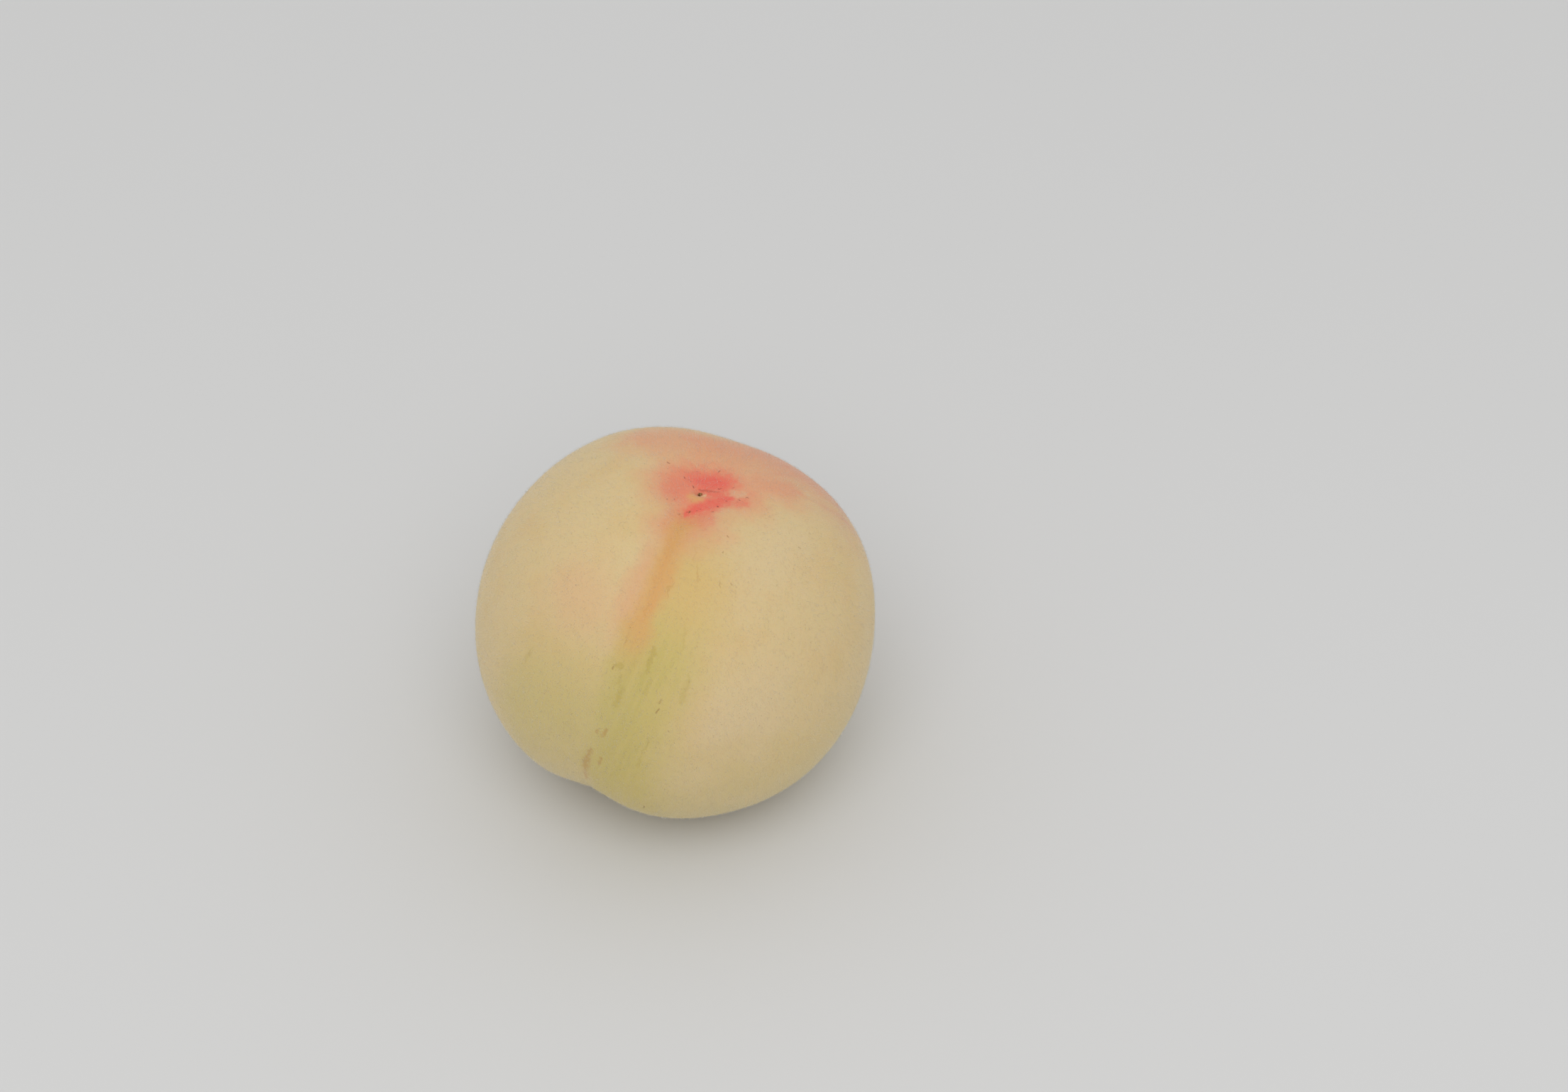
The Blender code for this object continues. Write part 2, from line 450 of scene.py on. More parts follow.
# Colours of the skin as they look under white light, then the noises and marks that spread them. A mark's
# place is millimetres beside the suture and along it from the tip, measured over the skin.
looks = dict(
    cream=tone(213, 188, 138), warmCream=tone(212, 183, 129), paleCream=tone(214, 191, 149),
    # The darker green cream of the low patch on the left cheek is partly the skin's own green and partly
    # painted shade
    greenCream=tone(203, 187, 132), stemGreen=tone(186, 180, 104), greenAndPaintedShade=tone(196, 179, 113),
    bandYellow=tone(209, 178, 112), bandGreen=tone(198, 179, 106), deepGreen=tone(186, 170, 92),
    orange=tone(213, 162, 98), salmon=tone(217, 164, 121), pink=tone(222, 144, 110),
    blush=tone(212, 146, 118), deepBlush=tone(200, 108, 92), mauve=tone(207, 147, 124),
    rose=tone(227, 123, 94), red=tone(230, 97, 80), gap=tone(214, 176, 136),
    gold=tone(217, 162, 100), yellow=tone(228, 188, 138), russet=tone(150, 112, 62),
    olive=tone(172, 148, 58), rust=tone(178, 128, 60), brown=tone(130, 78, 32), dotRed=tone(124, 40, 30),
    roughness=0.74, roughnessSwing=0.2, sheen=0.30, sheenRoughness=0.45, sheenTint=(1.0, 0.87, 0.66, 1.0),
    scatter=0.12, scatterReach=0.0025, scatterTint=(1.0, 0.55, 0.28),
    bumpStrength=0.5, bumpHeight=0.00012, grainHeight=0.6, mottleHeight=0.8,

    # Two noises that push places about: patches to a millimetre and detail, then how far each kind of place
    # is pushed by the wide and by the fine one, in millimetres
    wideNoise=(0.13, 3.0), fineNoise=(0.8, 4.0),
    pushes=dict(loose=(9.0, 2.2), rough=(2.0, 3.4), snug=(0.0, 1.6), slide=(6.0, 2.0)),

    # Noise that breaks up colours: size of its patches in millimetres, detail and roughness
    noises=dict(
        blotches=(15.0, 3.0, 0.55), mottle=(3.4, 3.0, 0.6), ragged=(1.6, 4.0, 0.7), grain=(0.5, 3.0, 0.65),
    ),

    # Streaks. Rays from the tip: how many, how fast they change with each millimetre, push and roughness. The
    # broad ones change by a share of that. Those drawn along the suture: changes across and along it.
    rays=(8.0, 0.16, 0.5, 0.62), broad=(13.0, 0.35, 0.3, 0.6), drawn=(0.75, 0.075, 0.35, 0.62),

    # Levels of a noise between which a colour comes in
    levels=dict(
        warmCream=(0.42, 0.66), paleCream=(0.45, 0.75), mottle=(0.35, 0.75), stemOlive=(0.5, 0.66),
        stemPink=(0.52, 0.68), core=(0.3, 0.7), soft=(0.36, 0.62), deepBlush=(0.46, 0.8), mauve=(0.3, 0.7),
        ragged=(0.3, 0.62),
    ),

    # Places between which a colour comes in: along the suture, but beside it for the band's two sides, and
    # over the tip for the upper lobe's edge and slant. front is the cosine of the angle round the fruit.
    spans=dict(
        greenCream=(44.0, 100.0), stemGreen=(99.0, 124.0), stemOlive=(98.0, 114.0), stemPink=(92.0, 110.0),
        russet=(117.0, 125.0), bandGreen=(25.0, 42.0), bandStart=(9.0, 24.0), bandEnd=(114.0, 80.0),
        bandLeft=(-5.0, 0.2), bandRight=(20.0, 6.5), upperEdge=(0.0, -1.3), slantEdge=(-1.4, 0.7),
        footBend=(42.0, 78.0), front=(-0.05, 0.45),
    ),

    # How far noise moves a border to and fro, how far the band bends at the foot, and where the slant faces
    sways=dict(greenCream=60.0, stemGreen=30.0, russet=22.0, suture=14.0),
    footBend=3.6, slantFaces=(0.46, 0.89),

    # How much of its colour a layer takes, and the weight of the first noise in two mixtures. Then, for the
    # layers that have streaks, an even share and how much more the streaks take.
    shares=dict(
        paleCream=0.25, greenCream=0.75, stemGreen=0.8, mottle=0.2, stemOlive=0.5, stemPink=0.35, russet=0.75,
        core=0.6, deepBlush=0.4, mauve=0.5, lobes=0.95, softBroad=0.6, raggedRays=0.35,
    ),
    streaking=dict(
        band=(0.78, 0.36), fringe=(0.3, 0.6), haze=(0.78, 0.42), sunny=(0.45, 0.4), orange=(0.62, 0.7),
        rose=(0.7, 0.5), red=(0.6, 0.4),
    ),

    # Strips beside the suture: middle, half width and edge, then where each starts and ends
    strips=dict(
        core=(4.0, 8.0, 0.9, (32.0, 46.0), (84.0, 54.0)),
        fringe=(-3.2, 4.2, 0.95, (8.0, 20.0), (45.0, 30.0)),
        orange=(0.8, 4.6, 0.95, (4.0, 12.0), (48.0, 30.0)),
    ),

    # Patches: middle, half the lengths, turn in degrees, edge and how much of its colour it takes
    patches=dict(
        warm=((-14.5, 31.5), (15.0, 14.0), 20.0, 1.0, 0.35),
        # The low patch on the left cheek: partly a green tint, partly painted shade
        greenAndPaintedShade=((-14.0, 57.0), (32.0, 28.0), 0.0, 0.95, 0.7),
        cool=((34.0, 38.0), (17.0, 19.0), 40.0, 1.0, 0.6),
        light=((20.0, 8.0), (17.0, 14.0), -60.0, 1.0, 0.45),
        haze=((0.0, -1.0), (17.5, 17.0), -20.0, 0.95, 1.0),
        beneath=((2.0, 8.8), (12.0, 11.6), -10.0, 0.95, 0.8),
        right=((8.0, -2.5), (11.0, 11.0), 0.0, 0.95, 0.85),
        beyond=((10.5, -8.0), (14.5, 11.0), -20.0, 0.95, 0.74),
        crown=((-2.0, -15.0), (26.0, 19.0), -10.0, 0.9, 0.66),
        shoulder=((10.0, -22.0), (26.0, 17.0), -23.0, 0.9, 0.78),
        sunny=((24.0, -36.0), (36.0, 33.0), -33.0, 0.95, 1.0),
        mauve=((27.0, -25.0), (12.0, 14.0), -45.0, 0.9, 1.0),
        left=((-4.0, 0.6), (8.4, 8.2), 0.0, 0.95, 0.66),
        drop=((1.8, 7.0), (6.2, 5.6), 0.0, 0.95, 0.55),
        upper=((1.0, -4.2), (8.4, 7.8), -20.0, 0.95, 1.0),
        below=((3.2, 2.9), (4.3, 7.0), 40.0, 0.95, 0.95),
        bridge=((4.4, -1.0), (4.4, 3.6), 0.0, 0.95, 0.8),
        tail=((7.2, 0.6), (4.6, 3.4), -20.0, 0.95, 0.5),
        gap=((7.4, -2.6), (2.6, 1.9), -20.0, 0.95, 0.6),
        gold=((-0.1, 2.1), (2.6, 2.4), 0.0, 0.95, 0.85),
        yellow=((1.1, 0.4), (1.1, 0.8), -20.0, 0.9, 0.8),
        crease=((1.6, -1.5), (2.2, 0.5), -10.0, 0.95, 0.36),
    ),

    # Small marks: place, half the width, half the length and how much of its colour it takes
    flecks=dict(
        olive=[
            (-1.0, 43.0, 1.6, 1.3, 0.6), (5.5, 39.5, 1.1, 3.0, 0.55), (1.0, 46.0, 1.3, 1.8, 0.4),
            (2.5, 49.5, 2.0, 3.2, 0.5), (16.0, 41.5, 1.5, 3.6, 0.4), (15.5, 56.5, 0.9, 2.6, 0.45),
            (16.5, 61.0, 0.7, 2.0, 0.4), (-24.0, 44.5, 1.0, 2.8, 0.3), (8.0, 44.5, 1.2, 2.2, 0.25),
            (10.5, 33.0, 0.8, 2.4, 0.25),
        ],
        rust=[
            (0.5, 59.0, 0.8, 1.2, 0.6), (2.5, 58.5, 1.2, 1.5, 0.8), (1.2, 71.5, 2.1, 7.5, 0.8),
            (1.0, 67.5, 1.2, 1.6, 0.8), (5.5, 67.0, 1.1, 1.8, 0.8), (3.5, 25.0, 0.45, 1.6, 0.45),
            (7.5, 20.0, 0.45, 2.0, 0.4), (5.6, 16.5, 0.45, 1.6, 0.25), (0.4, 31.0, 0.5, 1.8, 0.3),
            (-1.2, 36.5, 0.4, 2.2, 0.35),
        ],
        brown=[
            (13.0, 48.0, 0.4, 0.6, 0.4), (12.2, 46.2, 0.35, 0.5, 0.3), (-1.6, 43.6, 0.35, 0.5, 0.35),
            (12.5, 20.5, 0.3, 0.8, 0.22), (10.0, 10.0, 0.3, 0.4, 0.4), (10.3, 14.0, 0.3, 0.45, 0.35),
            (23.8, 3.0, 0.3, 0.35, 0.35), (14.5, 19.4, 0.3, 0.35, 0.3), (28.6, 75.4, 0.35, 1.0, 0.8),
            (0.5, 6.4, 0.42, 0.5, 0.7), (-1.4, 8.2, 0.25, 0.4, 0.4),
        ],
        dotRed=[
            (-4.5, -2.1, 0.22, 0.45, 0.6), (-3.0, -2.1, 0.25, 0.35, 0.6), (-1.9, -0.95, 0.2, 0.4, 0.6),
            (3.6, -3.2, 0.25, 0.35, 0.5), (6.1, -4.1, 0.2, 0.35, 0.5), (1.4, -8.5, 0.25, 0.45, 0.5),
            (-8.8, -3.9, 0.22, 0.35, 0.45), (-3.7, 5.0, 0.22, 0.35, 0.55), (-4.9, 6.2, 0.2, 0.25, 0.5),
            (5.1, 2.6, 0.25, 0.3, 0.7), (4.9, 4.7, 0.22, 0.35, 0.5), (6.3, 0.2, 0.22, 0.35, 0.55),
            (8.6, -0.7, 0.22, 0.4, 0.6), (9.6, -1.8, 0.2, 0.35, 0.5),
        ],
    ),
    fleckEdge=0.95, fleckStrength=dict(olive=0.62, rust=0.62, brown=1.2, dotRed=1.2),

    # Dots spread by rule: spacing, size, share of places that hold one, how much of which colour they take.
    # Then how strongly they show in the fainter parts of the blush.
    specks=dict(
        # The pale dots are painted glints on the pores, not a colour of the skin
        pores=(1.25, 0.19, 0.6, 0.6, "dotRed"), paintedGlints=(1.7, 0.2, 0.5, 0.4, "paleCream"),
        freckles=(4.2, 0.22, 0.5, 0.3, "brown"),
    ),
    speckled=dict(sunny=0.6, left=0.8, spread=0.35),
)


def level(noise, name):
    # How far a noise has come from the first to the second of its named levels
    return noise.rise(*looks["levels"][name])


def span(place, name):
    # How far a place has come from the start to the end of a named span
    return place.rise(*looks["spans"][name])


def swayed(place, noise, name):
    # A place along the suture, moved to and fro by a noise
    return place + (noise - 0.5) * looks["sways"][name]


def streaked(mask, noise, name):
    # The mask, taking an even share of its colour and more where the noise is high
    even, more = looks["streaking"][name]
    return mask * (even + noise * more)


def stain(place, name):
    # A named patch, as much as its colour is taken
    middle, reach, turn, edge, strength = looks["patches"][name]
    mask = patch(place, middle, reach, turn, edge)
    return mask if strength == 1.0 else mask * strength


def suturePart(maps, name):
    # A named strip beside the suture that starts and ends softly along it
    middle, half, edge, start, end = looks["strips"][name]
    beside = strip(maps.slide, middle, half, edge)
    return beside * maps.lower.rise(*start) * maps.lower.rise(*end) * maps.front


def fleckMarks(place, spots):
    # Small marks, each drawn out along the line from tip to stem
    for side, along, halfWidth, halfLength, strength in spots:
        turn = math.degrees(math.atan2(-side, along))
        yield patch(place, (side, along), (halfWidth, halfLength), turn, looks["fleckEdge"]) * strength


def largest(masks):
    # The largest of any number of masks
    total = None
    for mask in masks:
        total = mask if total is None else total.larger(mask)
    return total


def skinMaps(place, tree):
    # Where a point lies on the skin, in millimetres, and the noises that break up its colours
    chart = addNode(tree, "ShaderNodeAttribute", {"attribute_name": "chart"}, None, "Vector")
    lines = addNode(tree, "ShaderNodeAttribute", {"attribute_name": "lines"}, None, "Vector")
    side, along, front = lines.part(0), lines.part(1), span(lines.part(2), "front")

    # The same places pushed about by two noises, so that no mark has a clean edge
    def pushing(scale, detail):
        sockets = {"Vector": place, "Scale": scale, "Detail": detail}
        return place.node("ShaderNodeTexNoise", None, sockets, "Color") - (0.5, 0.5, 0.5)

    def pushed(name):
        far, near = looks["pushes"][name]
        moved = chart + wide * (far, far, 0.0) if far else chart
        return moved + fine * (near, near, 0.0)

    wide, fine = pushing(*looks["wideNoise"]), pushing(*looks["fineNoise"])
    loose, rough, snug = (pushed(name) for name in ("loose", "rough", "snug"))

    # Streaks: fine rays from the tip, broader ones over the cheeks, and drawn-out ones beside the suture
    streakDetail = 4.0
    rayCount, rayChange, rayPush, rayRoughness = looks["rays"]
    broadCount, broadChange, broadPush, broadRoughness = looks["broad"]
    drawnCount, drawnChange, drawnPush, drawnRoughness = looks["drawn"]
    away = chart.size()
    ray = chart.direction()
    outwards = chart.node("ShaderNodeCombineXYZ", None, {"Z": away * rayChange})
    rays = cloud(ray * rayCount + outwards + fine * rayPush, 1.0, streakDetail, rayRoughness)
    broad = ray * broadCount + outwards * broadChange + fine * broadPush
    broad = cloud(broad, 1.0, streakDetail, broadRoughness)
    drawn = lines * (drawnCount, drawnChange, 0.0) + fine * drawnPush
    drawn = cloud(drawn, 1.0, streakDetail, drawnRoughness)
    blotches = cloud(place, *looks["noises"]["blotches"])
    mottle = cloud(place, *looks["noises"]["mottle"])

    # Along the suture with an uneven end, and across it with a bend near the foot
    lower = swayed(along, blotches, "suture")
    far, near = looks["pushes"]["slide"]
    slide = side + (wide * far + fine * near).part(0) - span(lower, "footBend") * looks["footBend"]
    return SimpleNamespace(
        place=place, along=along, front=front, fine=fine, loose=loose, rough=rough, snug=snug, rays=rays,
        broad=broad, drawn=drawn, blotches=blotches, mottle=mottle, lower=lower, slide=slide,
    )


def groundColour(maps):
    # Cream with warm and pale patches, greener low down and at the stem
    shares = looks["shares"]
    colour = mixed(level(maps.blotches, "warmCream"), looks["cream"], looks["warmCream"])
    colour = mixed(level(maps.broad, "paleCream") * shares["paleCream"], colour, looks["paleCream"])
    low = span(swayed(maps.along, maps.blotches, "greenCream"), "greenCream")
    colour = mixed(low * shares["greenCream"], colour, looks["greenCream"])
    lowest = span(swayed(maps.along, maps.broad, "stemGreen"), "stemGreen")
    colour = mixed(lowest * shares["stemGreen"], colour, looks["stemGreen"])
    return mixed(level(maps.mottle, "mottle") * shares["mottle"], colour, looks["greenCream"])


def addStemCavity(maps, colour):
    # Green and rosy rays running in, and russet round the scar
    shares = looks["shares"]
    olive = level(maps.rays, "stemOlive") * span(maps.along, "stemOlive")
    colour = mixed(olive * shares["stemOlive"], colour, looks["olive"])
    pink = level(maps.broad, "stemPink") * span(maps.along, "stemPink")
    colour = mixed(pink * shares["stemPink"], colour, looks["pink"])
    inward = span(swayed(maps.along, maps.rays, "russet"), "russet")
    return mixed(inward * shares["russet"], colour, looks["russet"])


def addSuture(maps, colour):
    # A yellow-green band beside the suture with a deeper core, and a salmon fringe on its left
    slide, lower = maps.slide, maps.lower
    band = span(slide, "bandLeft") * span(slide, "bandRight")
    band = band * span(lower, "bandStart") * span(lower, "bandEnd")
    bandColour = mixed(span(lower, "bandGreen"), looks["bandYellow"], looks["bandGreen"])
    colour = mixed(streaked(band * maps.front, maps.drawn, "band"), colour, bandColour)
    core = suturePart(maps, "core") * level(maps.drawn, "core") * looks["shares"]["core"]
    colour = mixed(core, colour, looks["deepGreen"])
    return mixed(streaked(suturePart(maps, "fringe"), maps.drawn, "fringe"), colour, looks["salmon"])


def addCheeks(maps, colour):
    # Warm on the left cheek, with a darker green patch low on it that is partly the skin's own green and
    # partly painted shade, and pale on the right
    colour = mixed(stain(maps.loose, "warm"), colour, looks["salmon"])
    # Painted shade mixed with a green tint, low on the left cheek
    colour = mixed(stain(maps.loose, "greenAndPaintedShade"), colour, looks["greenAndPaintedShade"])
    return mixed(largest(stain(maps.loose, name) for name in ("cool", "light")), colour, looks["paleCream"])


def addBlush(maps, colour):
    # A haze round the tip, fainter over the far shoulder and streaked down the hidden side, and the orange
    # streak. Where the haze and the sunny side lie is kept for the specks.
    hazes = ("haze", "beneath", "right", "beyond", "crown", "shoulder")
    maps.spread = largest(stain(maps.loose, name) for name in hazes)
    colour = mixed(streaked(maps.spread, maps.rays, "haze"), colour, looks["pink"])
    maps.sunny = stain(maps.loose, "sunny")
    soft = level(blended(maps.broad, maps.mottle, looks["shares"]["softBroad"]), "soft")
    colour = mixed(streaked(maps.sunny, soft, "sunny"), colour, looks["blush"])
    deep = maps.sunny * level(maps.broad, "deepBlush")
    colour = mixed(deep * looks["shares"]["deepBlush"], colour, looks["deepBlush"])
    mauve = stain(maps.loose, "mauve") * level(maps.broad, "mauve")
    colour = mixed(mauve * looks["shares"]["mauve"], colour, looks["mauve"])
    return mixed(streaked(suturePart(maps, "orange"), maps.drawn, "orange"), colour, looks["orange"])


def addLobes(maps, colour):
    # Red lobes round the tip: one above it, cut off below and on the left, and one below it, joined on the
    # right. Where they and the rosy left side lie is kept for the specks.
    rough, snug = maps.rough, maps.snug
    upward = rough.part(1)
    torn = cloud(maps.place, *looks["noises"]["ragged"])
    ragged = level(blended(maps.rays, torn, looks["shares"]["raggedRays"]), "ragged")
    maps.left = stain(rough, "left")
    rosy = maps.left.larger(stain(rough, "drop"))
    colour = mixed(streaked(rosy, maps.rays, "rose"), colour, looks["rose"])
    right, down = looks["slantFaces"]
    slant = span(rough.part(0) * right - upward * down, "slantEdge")
    upper = stain(rough, "upper") * span(upward, "upperEdge") * slant
    maps.lobes = largest([upper, *(stain(rough, name) for name in ("below", "bridge", "tail"))])
    colour = mixed(maps.lobes * looks["shares"]["lobes"], colour, looks["rose"])
    colour = mixed(streaked(maps.lobes * maps.lobes, ragged, "red"), colour, looks["red"])
    colour = mixed(stain(rough, "gap"), colour, looks["gap"])
    colour = mixed(stain(snug, "gold"), colour, looks["gold"])
    colour = mixed(stain(snug, "yellow"), colour, looks["yellow"])
    return mixed(stain(snug, "crease"), colour, looks["dotRed"])


def addFlecks(maps, colour):
    # Flecks, with a softer place for the large ones
    for name, spots in looks["flecks"].items():
        marks = fleckMarks(maps.rough if name in ("olive", "rust") else maps.snug, spots)
        colour = mixed(largest(marks) * looks["fleckStrength"][name], colour, looks[name])
    return colour


def addSpecks(maps, colour):
    # Lenticels: dark red in the blush with pale specks beside them that are painted glints, and faint brown
    # elsewhere.
    # Their patterns are moved apart, so that no two share their cells.
    weaker = (getattr(maps, name) * weight for name, weight in looks["speckled"].items())
    blushed = largest([maps.lobes, *weaker])
    where = dict(
        pores=(maps.place + maps.fine * 0.5, blushed), paintedGlints=(maps.place + 20.0, blushed),
        freckles=(maps.place + 40.0, 1.0 - blushed),
    )
    for name, (spacing, size, share, strength, over) in looks["specks"].items():
        place, mask = where[name]
        colour = mixed(dots(place, spacing, size, share) * mask * strength, colour, looks[over])
    return colour


def skinMaterial():
    material, surface = newMaterial(
        "peach_fuzzy_skin", Sheen_Weight=looks["sheen"], Sheen_Roughness=looks["sheenRoughness"],
        Sheen_Tint=looks["sheenTint"], Subsurface_Weight=looks["scatter"],
        Subsurface_Scale=looks["scatterReach"], Subsurface_Radius=looks["scatterTint"],
    )
    maps = skinMaps(placeOn(material), material.node_tree)
    colour = groundColour(maps)
    for addStage in (addStemCavity, addSuture, addCheeks, addBlush, addLobes, addFlecks, addSpecks):
        colour = addStage(maps, colour)
    grain = cloud(maps.place, *looks["noises"]["grain"])
    height = grain * looks["grainHeight"] + maps.mottle * looks["mottleHeight"]
    roughness = looks["roughness"] + (grain - 0.5) * looks["roughnessSwing"]
    normal = bumped(height, looks["bumpStrength"], looks["bumpHeight"])
    wire(surface, Base_Color=colour, Roughness=roughness, Normal=normal)
    return material


def buildSkin():
    # The fine surface of the whole fruit, with the places of its marks kept on its points
    polar, around = skinGrid(skin["segments"], skin["rings"])
    ends = skinPoint(np.array([0.0, np.pi]), np.array([0.0, 0.0]))
    mesh = roundMesh("skin", skinPoint(polar, around), ends)
    polar = np.concatenate([polar.ravel(), [0.0, np.pi]])
    around = np.concatenate([around.ravel(), [0.0, 0.0]])
    turn = around - fruit["sutureBend"] * np.sin(2.0 * polar)
    fromTip = polar * skin["millimetresPerRadian"]
    chart = [fromTip * np.sin(turn), fromTip * np.cos(turn), 0.0 * polar]
    lines = [acrossSuture(polar, around) / mm, fromTip, np.cos(around)]
    setVectors(mesh, "chart", np.stack(chart, axis=-1))
    setVectors(mesh, "lines", np.stack(lines, axis=-1))
    piece = addPiece("skin", mesh, skinMaterial())
    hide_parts("peach")


buildSkin()
print("skin made")


# Fuzz: short fine hairs over the whole skin, each a long thin pyramid. Leans are radians from straight out.
fuzz = dict(
    pieces=2, hairs=49000, shortest=0.00035, longest=0.00080, halfThickness=0.0000175, sunk=0.00004,
    leastLean=0.45, mostLean=1.20, combing=1.6, straying=0.6, clearOfFloor=0.0006, seatGap=0.00004,
    palest=(0.93, 0.83, 0.60, 1.0), warmest=(0.85, 0.69, 0.43, 1.0), roughness=0.65,
    patches=(6.0, 3.0, 0.6), warmFrom=(0.35, 0.65),     # millimetres, detail and roughness, then levels
    glow=0.0002, glowTint=(1.0, 0.9, 0.75), cells=224,
)


def hairMesh(name):
    # Roots even over the area, tips leaning along a combed flow, kept inside the solid's box
    count = fuzz["hairs"]
    polar = np.arccos(random.uniform(-1.0, 1.0, count))
    around = random.uniform(0.0, 2.0 * np.pi, count)
    root = skinPoint(polar, around)
    above = root[:, 2] > fuzz["clearOfFloor"]
    polar, around, root = polar[above], around[above], root[above]
    count = len(root)
    normal = outward(polar, around)
    step = 0.001
    down = unit(skinPoint(polar + step, around) - root)
    across = np.cross(normal, down)
    swirl = sum(np.sin(root @ ways[0] + start[0]) for ways, start, weight in dents)
    turn = fuzz["combing"] * swirl / len(dents) + random.normal(0.0, fuzz["straying"], count)
    flow = np.cos(turn)[:, None] * down + np.sin(turn)[:, None] * across
    lean = random.uniform(fuzz["leastLean"], fuzz["mostLean"], count)[:, None]
    way = unit(np.cos(lean) * normal + np.sin(lean) * flow)
    tip = root + way * random.uniform(fuzz["shortest"], fuzz["longest"], count)[:, None]
    low, high = np.array(cadBox[0]), np.array(cadBox[1])
    low[2] = fuzz["seatGap"]
    tip = np.clip(tip, low, high)

    # A triangle round the sunk root, square to the hair, and its tip
    flatter = flow + 0.3 * normal      # leans further over than any hair
    first = unit(np.cross(way, flatter))
    second = np.cross(way, first)
    foot = root - way * fuzz["sunk"]
    corners = [
        foot + fuzz["halfThickness"] * (math.cos(turned) * first + math.sin(turned) * second)
        for turned in (0.0, 2.0 * math.pi / 3.0, 4.0 * math.pi / 3.0)
    ]
    points = np.stack([*corners, tip], axis=1).reshape(-1, 3)
    sides = np.array([(0, 1, 3), (1, 2, 3), (2, 0, 3), (0, 2, 1)])
    faces = (4 * np.arange(count)[:, None, None] + sides[None]).reshape(-1, 3)
    mesh = fillMesh(name, points, [faces])

    # Each hair has a square of its own in the map
    cells = fuzz["cells"]
    inSquare = np.array([(0.2, 0.2), (0.8, 0.2), (0.5, 0.35), (0.5, 0.8)])
    square = np.stack([np.arange(count) % cells, np.arange(count) // cells], axis=-1)
    flat = (square[:, None, None, :] + inSquare[sides][None]) / cells
    mesh.uv_layers.new(name="OFBake").data.foreach_set("uv", flat.astype(np.float32).ravel())
    return mesh


def fuzzMaterial():
    # Pale hairs, warmer in patches, that glow with the light from behind them
    material, surface = newMaterial(
        "peach_fuzz", Roughness=fuzz["roughness"], Subsurface_Weight=1.0, Subsurface_Scale=fuzz["glow"],
        Subsurface_Radius=fuzz["glowTint"],
    )
    warm = cloud(placeOn(material), *fuzz["patches"]).rise(*fuzz["warmFrom"])
    wire(surface, Base_Color=mixed(warm, fuzz["palest"], fuzz["warmest"]))
    return material


def buildFuzz():
    material = fuzzMaterial()
    for k in range(fuzz["pieces"]):
        name = "fuzz_" + str(k + 1)
        addPiece(name, hairMesh(name), material)


buildFuzz()
print("fuzz made")


# Dry style at the tip and dry scar of the stalk in the cavity
dry = dict(
    styleWidth=0.00032, styleSunk=0.0006, styleHeight=0.00060, styleSides=36, styleRings=26,
    styleRagged=0.00012, styleRaggedFine=0.00006, styleBend=0.00022, styleFlatness=0.8,
    styleWaist=0.75, styleSwell=0.45, styleFoot=0.7, styleFolds=0.26, styleFineFolds=0.16,
    scarWidth=0.0031, scarSides=120, scarRings=48, scarDepth=0.0021, scarDome=0.0009,
    scarRagged=0.05, scarRaggedFine=0.03, scarHollow=0.0004, scarRipple=0.0002, scarFibres=0.00012,
    pith=0.8, pithFrom=0.6, rim=2.7, rimFrom=0.75,      # the scar's dark middle and rim, in millimetres
    rays=5.0, rayShare=0.7, ringPaler=0.22, darker=0.12,
    dark=tone(84, 54, 27), middle=tone(138, 98, 52), light=tone(204, 168, 112),
    middleFrom=(0.35, 0.55), lightFrom=(0.5, 0.7), bumpStrength=0.7, bumpHeight=0.0001,
    roughness=0.85, roughnessSwing=0.2,
)


def dryMaterial(name, fibres):
    # Brown fibres, darker in the folds, which is partly their own browns and partly painted shade; fibres
    # makes their pattern from the place in millimetres
    material, surface = newMaterial(name)
    strands = fibres(placeOn(material))
    # The same pattern sets the bump, so the low folds get the darker browns: painted shade over the fibres'
    # own colour
    colour = mixed(strands.rise(*dry["middleFrom"]), dry["dark"], dry["middle"])
    colour = mixed(strands.rise(*dry["lightFrom"]), colour, dry["light"])
    normal = bumped(strands, dry["bumpStrength"], dry["bumpHeight"])
    roughness = dry["roughness"] + (strands - 0.5) * dry["roughnessSwing"]
    wire(surface, Base_Color=colour, Roughness=roughness, Normal=normal)
    return material


def scarFibres(place, middle):
    # Rays round the middle, dark in the pith and at the rim, with a pale woody ring between
    offset = place - tuple(middle / mm)
    away = offset.size()
    rays = cloud(offset.direction() * dry["rays"] + offset * 0.5, 1.0, 4.0, 0.7)
    rays = blended(rays, cloud(place, 0.3, 3.0, 0.7), dry["rayShare"])
    pith, rim = dry["pith"], dry["rim"]
    ring = away.rise(pith * dry["pithFrom"], pith) * away.rise(rim, rim * dry["rimFrom"])
    return rays + ring * dry["ringPaler"] - dry["darker"]


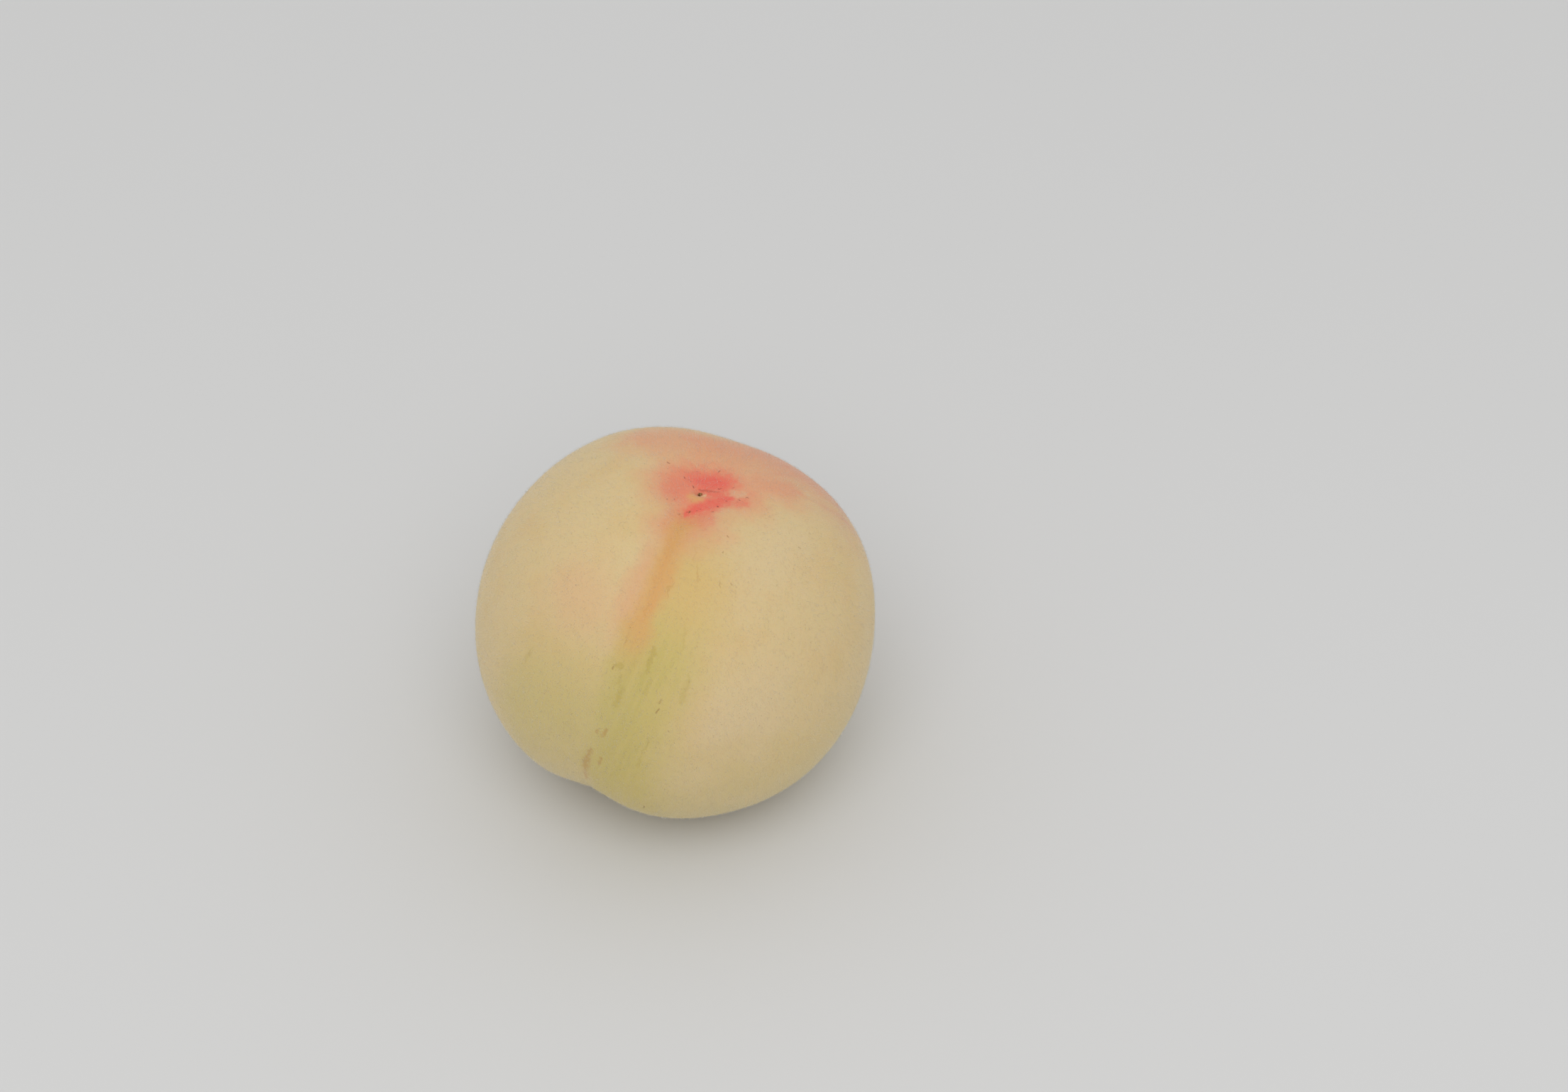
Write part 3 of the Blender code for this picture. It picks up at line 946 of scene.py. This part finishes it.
def buildStyle():
    # A crumpled tube from above to below: its path bends and its radius swells at the ragged top
    base = skinPoint(np.array(0.0), np.array(0.0))
    up = heading(np.array(0.0), np.array(0.0))
    share = np.linspace(0.0, 1.0, dry["styleRings"])[:, None]
    turned = (2.0 * np.pi * np.arange(dry["styleSides"]) / dry["styleSides"])[None, :]
    rise = dry["styleHeight"] - share * (dry["styleHeight"] + dry["styleSunk"])
    ragged = dry["styleRagged"] * np.sin(3.0 * turned + 1.0) + dry["styleRaggedFine"] * np.sin(7.0 * turned)
    rise = rise + ragged * hill(share, 0.25)
    wide = dry["styleWaist"] + dry["styleSwell"] * hill(share - 0.16, 0.14)
    wide = wide + dry["styleFoot"] * ease((share - 0.35) / 0.65)
    folds = 1.0 + dry["styleFolds"] * np.sin(4.0 * turned + 4.0 * share)
    folds = folds + dry["styleFineFolds"] * np.sin(7.0 * turned - 7.0 * share + 0.8)
    radius = dry["styleWidth"] * wide * folds * ease(share / 0.12 + 0.35)
    bend = dry["styleBend"] * np.sin(2.6 * (1.0 - share))
    x = radius * np.cos(turned) + bend
    y = dry["styleFlatness"] * radius * np.sin(turned) - 0.6 * bend
    points = base + np.stack([x, y, 0.0 * x], axis=-1) + rise[..., None] * up
    ends = np.stack([points[0].mean(axis=0) - dry["styleRagged"] * up, points[-1].mean(axis=0)])
    material = dryMaterial("dry_style", lambda place: cloud(place, 0.25, 4.0, 0.7, 0.4))
    addPiece("style_remnant", roundMesh("style_remnant", points, ends), material)


def buildScar():
    # A rough disc across the bottom of the cavity: a ribbed lower face and a dome hidden in the flesh
    base = skinPoint(np.array(np.pi), np.array(0.0))
    share = ((np.arange(dry["scarRings"]) + 0.5) / dry["scarRings"])[:, None]
    turned = (2.0 * np.pi * np.arange(dry["scarSides"]) / dry["scarSides"])[None, :]
    inner = np.sin(np.pi * share)
    ragged = 1.0 + dry["scarRagged"] * np.sin(4.0 * turned + 0.7)
    ragged = ragged + dry["scarRaggedFine"] * np.sin(11.0 * turned + 2.0)
    radius = dry["scarWidth"] * inner * ragged
    lowered = dry["scarDepth"] - dry["scarHollow"] * hill(inner, 0.45)
    lowered = lowered - dry["scarRipple"] * np.cos(9.0 * inner)
    ribs = np.sin(23.0 * turned + 5.0 * inner) * np.sin(6.0 * inner + 2.0 * np.sin(3.0 * turned))
    lower = -(lowered + dry["scarFibres"] * ribs * inner)
    upper = dry["scarDome"] - dry["scarDepth"] * inner ** 2
    blend = ease((share - 0.44) / 0.12)
    z = upper * (1.0 - blend) + lower * blend
    points = base + np.stack([radius * np.cos(turned), radius * np.sin(turned), z], axis=-1)
    ends = np.stack([points[0].mean(axis=0), points[-1].mean(axis=0)])
    material = dryMaterial("dry_scar", lambda place: scarFibres(place, ends[1]))
    addPiece("stalk_scar", roundMesh("stalk_scar", points, ends), material)


buildStyle()
buildScar()
print("dry parts made")


# Room: a plain pale floor just under the fruit, one wide soft light and a bright even surround
room = dict(
    floorHalf=3.0, floorDrop=0.00002, floorColour=(0.66, 0.66, 0.655, 1.0), floorRoughness=0.9,
    surround=(1.0, 1.0, 1.0, 1.0), surroundStrength=0.73,
    lightPlace=(0.00, -0.74, 1.08), lightAim=(0.0, 0.0, 0.04), lightSize=1.2, lightPower=5.4,
)
view = dict(
    elevation=math.radians(44.5), distance=0.75, aim=(0.02295, 0.0008, 0.0573), lens=83.19, sensor=36.0,
)


def buildRoom():
    half, below = room["floorHalf"], -room["floorDrop"]
    corners = [(-half, -half, below), (half, -half, below), (half, half, below), (-half, half, below)]
    mesh = bpy.data.meshes.new("floor")
    mesh.from_pydata(corners, [], [(0, 1, 2, 3)])
    paper = dict(Base_Color=room["floorColour"], Roughness=room["floorRoughness"])
    material, surface = newMaterial("floor_paper", **paper)
    mesh.materials.append(material)
    floor = bpy.data.objects.new("floor", mesh)
    bpy.context.scene.collection.objects.link(floor)

    world = bpy.data.worlds.new("surround")
    world.use_nodes = True
    background = world.node_tree.nodes["Background"]
    background.inputs["Color"].default_value = room["surround"]
    background.inputs["Strength"].default_value = room["surroundStrength"]
    bpy.context.scene.world = world

    data = bpy.data.lights.new("soft_light", "AREA")
    data.shape, data.size, data.energy = "DISK", room["lightSize"], room["lightPower"]
    light = bpy.data.objects.new("soft_light", data)
    light.location = room["lightPlace"]
    aim = Vector(room["lightPlace"]) - Vector(room["lightAim"])
    light.rotation_euler = aim.to_track_quat("Z", "Y").to_euler()
    bpy.context.scene.collection.objects.link(light)


def buildCamera():
    data = bpy.data.cameras.new("camera")
    data.lens, data.sensor_width = view["lens"], view["sensor"]
    camera = bpy.data.objects.new("camera", data)
    back = Vector((0.0, -math.cos(view["elevation"]), math.sin(view["elevation"])))
    camera.location = Vector(view["aim"]) + back * view["distance"]
    camera.rotation_euler = (math.pi / 2.0 - view["elevation"], 0.0, 0.0)
    bpy.context.scene.collection.objects.link(camera)
    bpy.context.scene.camera = camera


buildRoom()
buildCamera()
bpy.context.scene.view_settings.view_transform = "Standard"
print("room and camera made")
